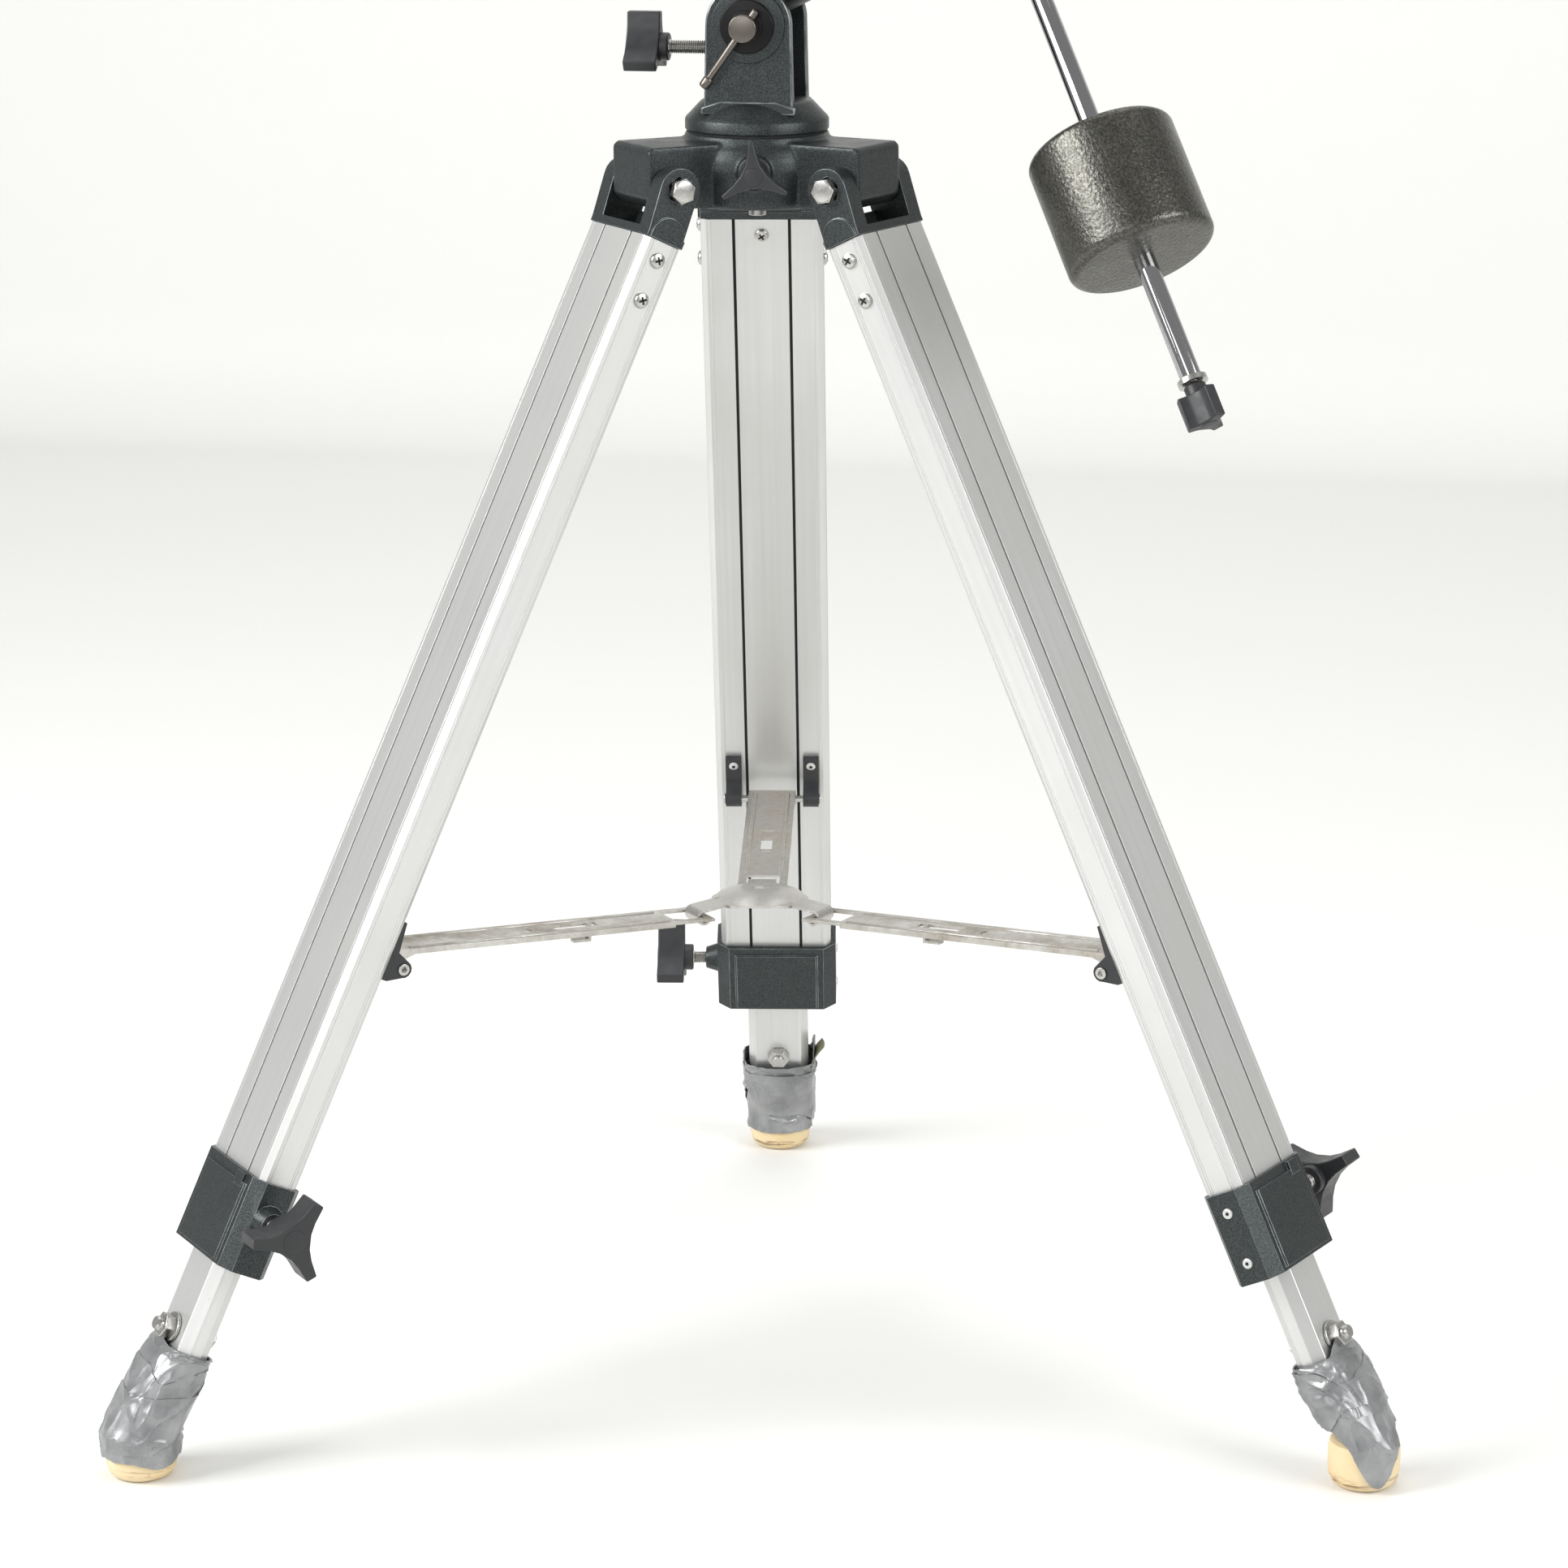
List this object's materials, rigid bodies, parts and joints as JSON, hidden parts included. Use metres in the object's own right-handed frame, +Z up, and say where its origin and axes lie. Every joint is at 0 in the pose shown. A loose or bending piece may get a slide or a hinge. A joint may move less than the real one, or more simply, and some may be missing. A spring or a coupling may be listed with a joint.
{
  "type": "equatorial telescope mount",
  "caption": "German equatorial mount with a sliding counterweight on a folding aluminium tripod with telescoping legs and a hinged spreader.",
  "frame": {"origin": "centre of the bounding box on the floor", "axes": "+Z up, +X towards celestial north, the camera side of the picture is roughly -Y"},
  "size_m": [0.7328, 0.7024, 0.9767],
  "materials": {
    "painted_casting": "die-cast, dark green-grey hammer paint, satin",
    "anodised_aluminium": "satin anodised",
    "zinc_steel": "zinc plated, some rust",
    "chromed_steel": "polished",
    "black_plastic": "moulded, satin",
    "hammered_iron": "hammered dark bronze enamel",
    "cream_rubber": "aged cream rubber",
    "silver_tape": "wrinkled silver cloth tape",
    "scale_ring": "satin scale ring, unmarked"
  },
  "bodies": {
    "tripod_head": {"tripod_head": "painted_casting", "retaining_bolt": "zinc_steel"},
    "azimuth_knob": {"azimuth_knob": "black_plastic"},
    "left_leg": {"left_yoke": "painted_casting", "left_hinge_bolt": "zinc_steel", "left_outer_leg": "anodised_aluminium", "left_clamp": "painted_casting", "left_bracket_a": "black_plastic", "left_bracket_b": "black_plastic", "left_spreader_pin": "zinc_steel"},
    "left_foot_leg": {"left_inner_leg": "anodised_aluminium", "left_foot": "cream_rubber", "left_foot_bolt": "zinc_steel", "left_foot_tape": "silver_tape"},
    "left_clamp_knob": {"left_clamp_knob": "black_plastic"},
    "left_arm": {"left_spreader_arm": "zinc_steel"},
    "right_leg": {"right_yoke": "painted_casting", "right_hinge_bolt": "zinc_steel", "right_outer_leg": "anodised_aluminium", "right_clamp": "painted_casting", "right_bracket_a": "black_plastic", "right_bracket_b": "black_plastic", "right_spreader_pin": "zinc_steel"},
    "right_foot_leg": {"right_inner_leg": "anodised_aluminium", "right_foot": "cream_rubber", "right_foot_bolt": "zinc_steel", "right_foot_tape": "silver_tape"},
    "right_clamp_knob": {"right_clamp_knob": "black_plastic"},
    "right_arm": {"right_spreader_arm": "zinc_steel"},
    "rear_leg": {"rear_yoke": "painted_casting", "rear_hinge_bolt": "zinc_steel", "rear_outer_leg": "anodised_aluminium", "rear_clamp": "painted_casting", "rear_bracket_a": "black_plastic", "rear_bracket_b": "black_plastic", "rear_spreader_pin": "zinc_steel"},
    "rear_foot_leg": {"rear_inner_leg": "anodised_aluminium", "rear_foot": "cream_rubber", "rear_foot_bolt": "zinc_steel", "rear_foot_tape": "silver_tape"},
    "rear_clamp_knob": {"rear_clamp_knob": "black_plastic"},
    "rear_arm": {"rear_spreader_arm": "zinc_steel"},
    "spreader_plate": {"spreader_plate": "zinc_steel"},
    "azimuth_base": {"latitude_fork": "painted_casting"},
    "latitude_bolt": {"latitude_bolt": "zinc_steel"},
    "lock_rod": {"lock_rod": "zinc_steel"},
    "latitude_screw": {"latitude_screw": "black_plastic"},
    "polar_head": {"polar_housing": "painted_casting"},
    "polar_worm": {"polar_worm": "zinc_steel"},
    "polar_circle": {"polar_circle": "scale_ring"},
    "polar_rotor": {"polar_shaft": "zinc_steel", "dec_housing": "painted_casting", "counterweight_shaft": "chromed_steel"},
    "dec_rotor": {"dec_shaft": "zinc_steel", "dec_circle": "scale_ring", "saddle": "painted_casting"},
    "dec_worm": {"dec_worm": "zinc_steel"},
    "counterweight": {"counterweight": "hammered_iron"},
    "counterweight_knob": {"counterweight_knob": "black_plastic"},
    "shaft_end_knob": {"shaft_end_knob": "black_plastic"}
  },
  "joints": [
    {"name": "azimuth_knob_turn", "type": "hinge", "parent": "tripod_head", "child": "azimuth_knob", "pos_m": [-0.02828, -0.06844, 0.72364], "axis": [-0.1409, 0.99, 0], "continuous": true},
    {"name": "left_leg_fold", "type": "hinge", "parent": "tripod_head", "child": "left_leg", "pos_m": [-0.08179, -0.11039, 0.71564], "axis": [0.617, -0.7869, 0], "range_deg": [0, 18.5]},
    {"name": "left_leg_extend", "type": "slide", "parent": "left_leg", "child": "left_foot_leg", "axis": [-0.3413, -0.2676, -0.9011], "range_m": [-0.038, 0.34]},
    {"name": "left_clamp_knob_turn", "type": "hinge", "parent": "left_leg", "child": "left_clamp_knob", "pos_m": [-0.25818, -0.31961, 0.15206], "axis": [-0.617, 0.7869, 0], "continuous": true},
    {"name": "left_arm_fold", "type": "hinge", "parent": "left_leg", "child": "left_arm", "pos_m": [-0.22112, -0.21964, 0.2848], "axis": [0.617, -0.7869, 0], "range_deg": [0, 66.6]},
    {"name": "right_leg_fold", "type": "hinge", "parent": "tripod_head", "child": "right_leg", "pos_m": [0.03481, -0.0938, 0.71564], "axis": [0.373, 0.9278, 0], "range_deg": [0, 18.5]},
    {"name": "right_leg_extend", "type": "slide", "parent": "right_leg", "child": "right_foot_leg", "axis": [0.4024, -0.1617, -0.9011], "range_m": [-0.038, 0.34]},
    {"name": "right_clamp_knob_turn", "type": "hinge", "parent": "right_leg", "child": "right_clamp_knob", "pos_m": [0.30419, -0.14195, 0.15206], "axis": [-0.373, -0.9278, 0], "continuous": true},
    {"name": "right_arm_fold", "type": "hinge", "parent": "right_leg", "child": "right_arm", "pos_m": [0.19909, -0.15984, 0.2848], "axis": [0.373, 0.9278, 0], "range_deg": [0, 66.6]},
    {"name": "rear_leg_fold", "type": "hinge", "parent": "tripod_head", "child": "rear_leg", "pos_m": [-0.03786, -0.00111, 0.71564], "axis": [-0.99, -0.1409, 0], "range_deg": [0, 18.5]},
    {"name": "rear_leg_extend", "type": "slide", "parent": "rear_leg", "child": "rear_foot_leg", "axis": [-0.0611, 0.4293, -0.9011], "range_m": [-0.038, 0.34]},
    {"name": "rear_clamp_knob_turn", "type": "hinge", "parent": "rear_leg", "child": "rear_clamp_knob", "pos_m": [-0.13085, 0.25625, 0.15206], "axis": [0.99, 0.1409, 0], "continuous": true},
    {"name": "rear_arm_fold", "type": "hinge", "parent": "rear_leg", "child": "rear_arm", "pos_m": [-0.06281, 0.17417, 0.2848], "axis": [-0.99, -0.1409, 0], "range_deg": [0, 66.6]},
    {"name": "spreader_plate_lift", "type": "slide", "parent": "tripod_head", "child": "spreader_plate", "axis": [0, 0, 1], "range_m": [0, 0.2627]},
    {"name": "azimuth_turn", "type": "hinge", "parent": "tripod_head", "child": "azimuth_base", "pos_m": [-0.02828, -0.06844, 0.80384], "axis": [0, 0, 1], "continuous": true},
    {"name": "latitude_tilt", "type": "hinge", "parent": "azimuth_base", "child": "polar_head", "pos_m": [-0.02828, -0.06844, 0.80384], "axis": [0, -1, 0], "range_deg": [-13, 30]},
    {"name": "latitude_screw_travel", "type": "slide", "parent": "azimuth_base", "child": "latitude_screw", "axis": [1, 0, 0], "range_m": [-0.00286, 0.0066]},
    {"name": "latitude_bolt_turn", "type": "hinge", "parent": "azimuth_base", "child": "latitude_bolt", "pos_m": [-0.02828, -0.06844, 0.80384], "axis": [0, 1, 0], "range_deg": [-60, 60]},
    {"name": "lock_rod_slide", "type": "slide", "parent": "latitude_bolt", "child": "lock_rod", "axis": [0.5736, 0, 0.8192], "range_m": [-0.003, 0.024]},
    {"name": "polar_turn", "type": "hinge", "parent": "polar_head", "child": "polar_rotor", "pos_m": [-0.03631, -0.06844, 0.81995], "axis": [0.8949, 0, 0.4462], "continuous": true},
    {"name": "polar_circle_turn", "type": "hinge", "parent": "polar_rotor", "child": "polar_circle", "pos_m": [-0.03631, -0.06844, 0.81995], "axis": [0.8949, 0, 0.4462], "continuous": true},
    {"name": "polar_worm_turn", "type": "hinge", "parent": "polar_head", "child": "polar_worm", "pos_m": [0.01609, -0.06844, 0.88294], "axis": [0, 1, 0], "continuous": true},
    {"name": "dec_turn", "type": "hinge", "parent": "polar_rotor", "child": "dec_rotor", "pos_m": [0.10482, -0.06844, 0.89031], "axis": [-0.3993, 0.4462, 0.8009], "continuous": true},
    {"name": "dec_worm_turn", "type": "hinge", "parent": "polar_rotor", "child": "dec_worm", "pos_m": [0.12089, -0.05639, 0.92532], "axis": [0.1991, 0.8949, -0.3993], "continuous": true},
    {"name": "counterweight_slide", "type": "slide", "parent": "polar_rotor", "child": "counterweight", "axis": [-0.3993, 0.4462, 0.8009], "range_m": [-0.075, 0.12]},
    {"name": "counterweight_knob_turn", "type": "hinge", "parent": "counterweight", "child": "counterweight_knob", "pos_m": [0.19056, -0.16423, 0.71835], "axis": [0.1991, 0.8949, -0.3993], "continuous": true},
    {"name": "shaft_end_knob_turn", "type": "hinge", "parent": "polar_rotor", "child": "shaft_end_knob", "pos_m": [0.10482, -0.06844, 0.89031], "axis": [-0.3993, 0.4462, 0.8009], "continuous": true}
  ],
  "couplings": [
    {"joint": "left_arm_fold", "follows": "left_leg_fold", "ratio": 3.6},
    {"joint": "right_leg_fold", "follows": "left_leg_fold", "ratio": 1},
    {"joint": "right_arm_fold", "follows": "left_leg_fold", "ratio": 3.6},
    {"joint": "rear_leg_fold", "follows": "left_leg_fold", "ratio": 1},
    {"joint": "rear_arm_fold", "follows": "left_leg_fold", "ratio": 3.6},
    {"joint": "spreader_plate_lift", "follows": "left_leg_fold", "m_per_rad": 0.8136},
    {"joint": "latitude_screw_travel", "follows": "latitude_tilt", "m_per_rad": 0.012605}
  ]
}
